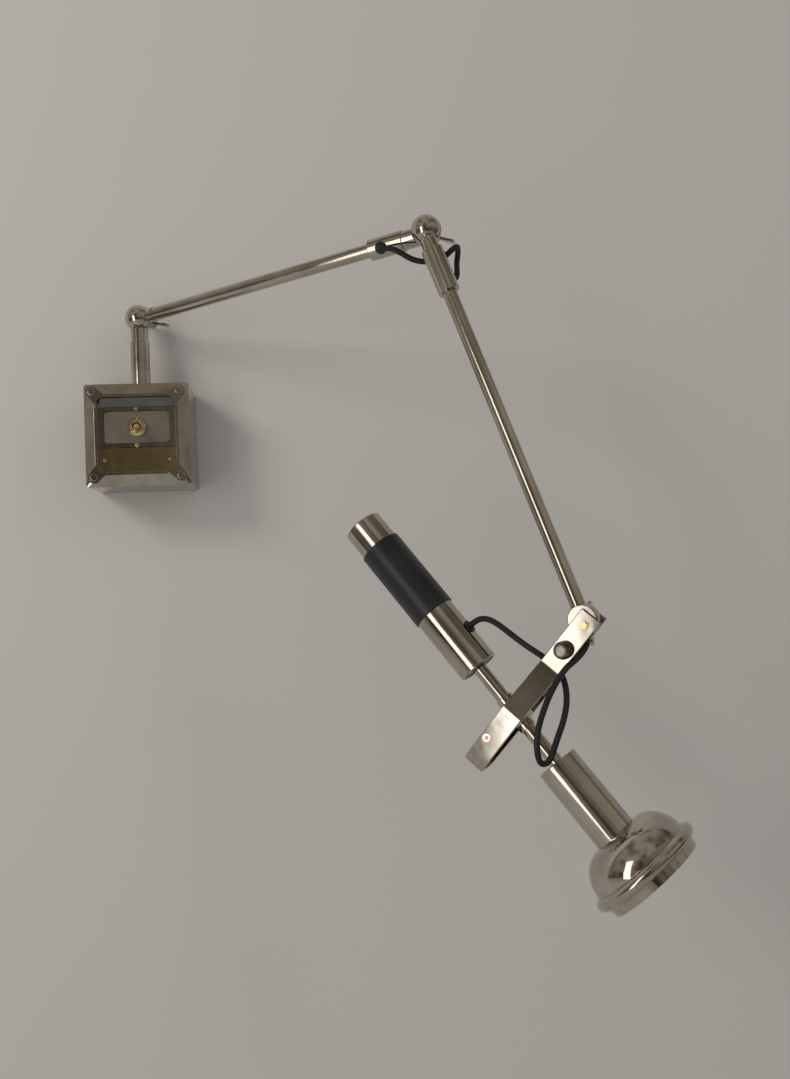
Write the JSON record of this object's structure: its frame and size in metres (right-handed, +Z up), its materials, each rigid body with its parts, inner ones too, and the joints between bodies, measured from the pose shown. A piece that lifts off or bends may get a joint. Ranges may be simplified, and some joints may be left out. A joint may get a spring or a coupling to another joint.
{
  "type": "articulating wall lamp",
  "caption": "Wall box with a toggle switch, a swivelling post, two knuckled arms and a folded strip bracket that clamps a sliding lamp head with a beaded reflector shade.",
  "frame": {"origin": "middle of the wall box's back face, against the wall", "axes": "+Y into the wall, -Y into the room, +Z up, +X to the right along the wall as seen from the room"},
  "size_m": [0.5029, 0.314, 0.5862],
  "materials": {
    "nickel": "polished warm nickel plate",
    "dark_nickel": "dark polished nickel",
    "steel": "plain machined steel",
    "aged_brass": "aged brass",
    "bright_brass": "polished brass",
    "copper": "copper",
    "switch_grey": "dark warm grey satin",
    "bar_grey": "blue grey nickel, satin",
    "black_grip": "black satin",
    "black_rubber": "matte black",
    "bakelite": "dark moulded plastic",
    "glass": "clear glass"
  },
  "bodies": {
    "base": {"back_box": "nickel", "front_cover": "nickel", "cover_screws": "nickel", "inner_panel": "dark_nickel", "header_bar": "bar_grey", "switch_frame": "dark_nickel", "switch_plate": "switch_grey", "brass_fixings": "bright_brass", "label_plate": "aged_brass", "toggle_ring": "aged_brass", "switch_body": "bakelite", "terminal_block": "bakelite", "post_socket": "nickel", "socket_nut": "steel"},
    "toggle": {"toggle_lever": "bright_brass"},
    "post": {"post_sleeve": "nickel", "swivel_clip": "steel", "post_knuckle": "nickel", "shoulder_washers": "nickel"},
    "upper_arm": {"arm_knuckle": "nickel", "shoulder_bolt": "nickel", "upper_tube": "nickel", "upper_sleeve": "nickel", "upper_gland": "black_rubber", "elbow_rear_knuckle": "nickel", "elbow_washers": "nickel", "elbow_cord": "black_rubber"},
    "shoulder_nut": {"shoulder_wing_nut": "nickel"},
    "lower_arm": {"elbow_front_knuckle": "nickel", "elbow_bolt": "nickel", "lower_sleeve": "nickel", "lower_gland": "black_rubber", "lower_tube": "nickel", "wrist_ball": "nickel"},
    "elbow_nut": {"elbow_wing_nut": "nickel"},
    "wrist_bracket": {"bracket": "nickel", "wrist_pin": "bright_brass", "bracket_washers": "nickel", "knob_stud": "nickel", "copper_rivet": "copper", "rivet_spacer": "nickel"},
    "wrist_nut": {"wrist_wing_nut": "nickel"},
    "knob": {"thumb_knob": "dark_nickel"},
    "drum": {"clamp_drum": "nickel"},
    "bush": {"clamp_bush": "nickel"},
    "head": {"rod": "nickel", "handle": "nickel", "handle_cap": "nickel", "handle_plug": "nickel", "grip_sleeve": "black_grip", "handle_gland": "black_rubber", "lamp_housing": "nickel", "rod_nut": "steel", "lampholder": "bakelite", "shade": "nickel", "shade_ring": "nickel", "bulb_cap": "bright_brass", "bulb_glass": "glass", "head_cord": "black_rubber"}
  },
  "joints": [
    {"name": "toggle_tilt", "type": "hinge", "parent": "base", "child": "toggle", "pos_m": [0, -0.0632, 0.0071], "axis": [-1, 0, 0], "range_deg": [0, 56]},
    {"name": "post_swivel", "type": "hinge", "parent": "base", "child": "post", "pos_m": [0, -0.03, 0.07], "axis": [0, 0, 1], "range_deg": [-125, 12]},
    {"name": "shoulder", "type": "hinge", "parent": "post", "child": "upper_arm", "pos_m": [0, -0.03, 0.122], "axis": [-0.4642, -0.8857, 0], "range_deg": [-28, 80]},
    {"name": "shoulder_nut_turn", "type": "hinge", "parent": "upper_arm", "child": "shoulder_nut", "pos_m": [0.00836, -0.01406, 0.122], "axis": [-0.4642, -0.8857, 0], "continuous": true},
    {"name": "elbow", "type": "hinge", "parent": "upper_arm", "child": "lower_arm", "pos_m": [0.2737, -0.18305, 0.15307], "axis": [0.4642, 0.8857, 0], "range_deg": [-60, 45], "deforming": ["elbow_cord"]},
    {"name": "elbow_nut_turn", "type": "hinge", "parent": "lower_arm", "child": "elbow_nut", "pos_m": [0.28205, -0.1671, 0.15307], "axis": [-0.4642, -0.8857, 0], "continuous": true},
    {"name": "wrist", "type": "hinge", "parent": "lower_arm", "child": "wrist_bracket", "pos_m": [0.37962, -0.24816, -0.19339], "axis": [-0.4642, -0.8857, 0], "range_deg": [-36, 60], "deforming": ["head_cord"]},
    {"name": "wrist_nut_turn", "type": "hinge", "parent": "wrist_bracket", "child": "wrist_nut", "pos_m": [0.38705, -0.23399, -0.19339], "axis": [-0.4642, -0.8857, 0], "continuous": true},
    {"name": "thumb_knob_turn", "type": "hinge", "parent": "wrist_bracket", "child": "knob", "pos_m": [0.3585, -0.2529, -0.21257], "axis": [-0.4642, -0.8857, 0], "continuous": true},
    {"name": "head_tilt", "type": "hinge", "parent": "wrist_bracket", "child": "drum", "pos_m": [0.32536, -0.21972, -0.26455], "axis": [0.4642, 0.8857, 0], "range_deg": [-30, 30], "deforming": ["head_cord"]},
    {"name": "rod_turn", "type": "hinge", "parent": "drum", "child": "bush", "pos_m": [0.32536, -0.21972, -0.26455], "axis": [0.5568, -0.2918, -0.7777], "range_deg": [-60, 60], "deforming": ["head_cord"]},
    {"name": "rod_slide", "type": "slide", "parent": "bush", "child": "head", "axis": [0.5568, -0.2918, -0.7777], "range_m": [-0.018, 0.018], "deforming": ["head_cord"]}
  ]
}
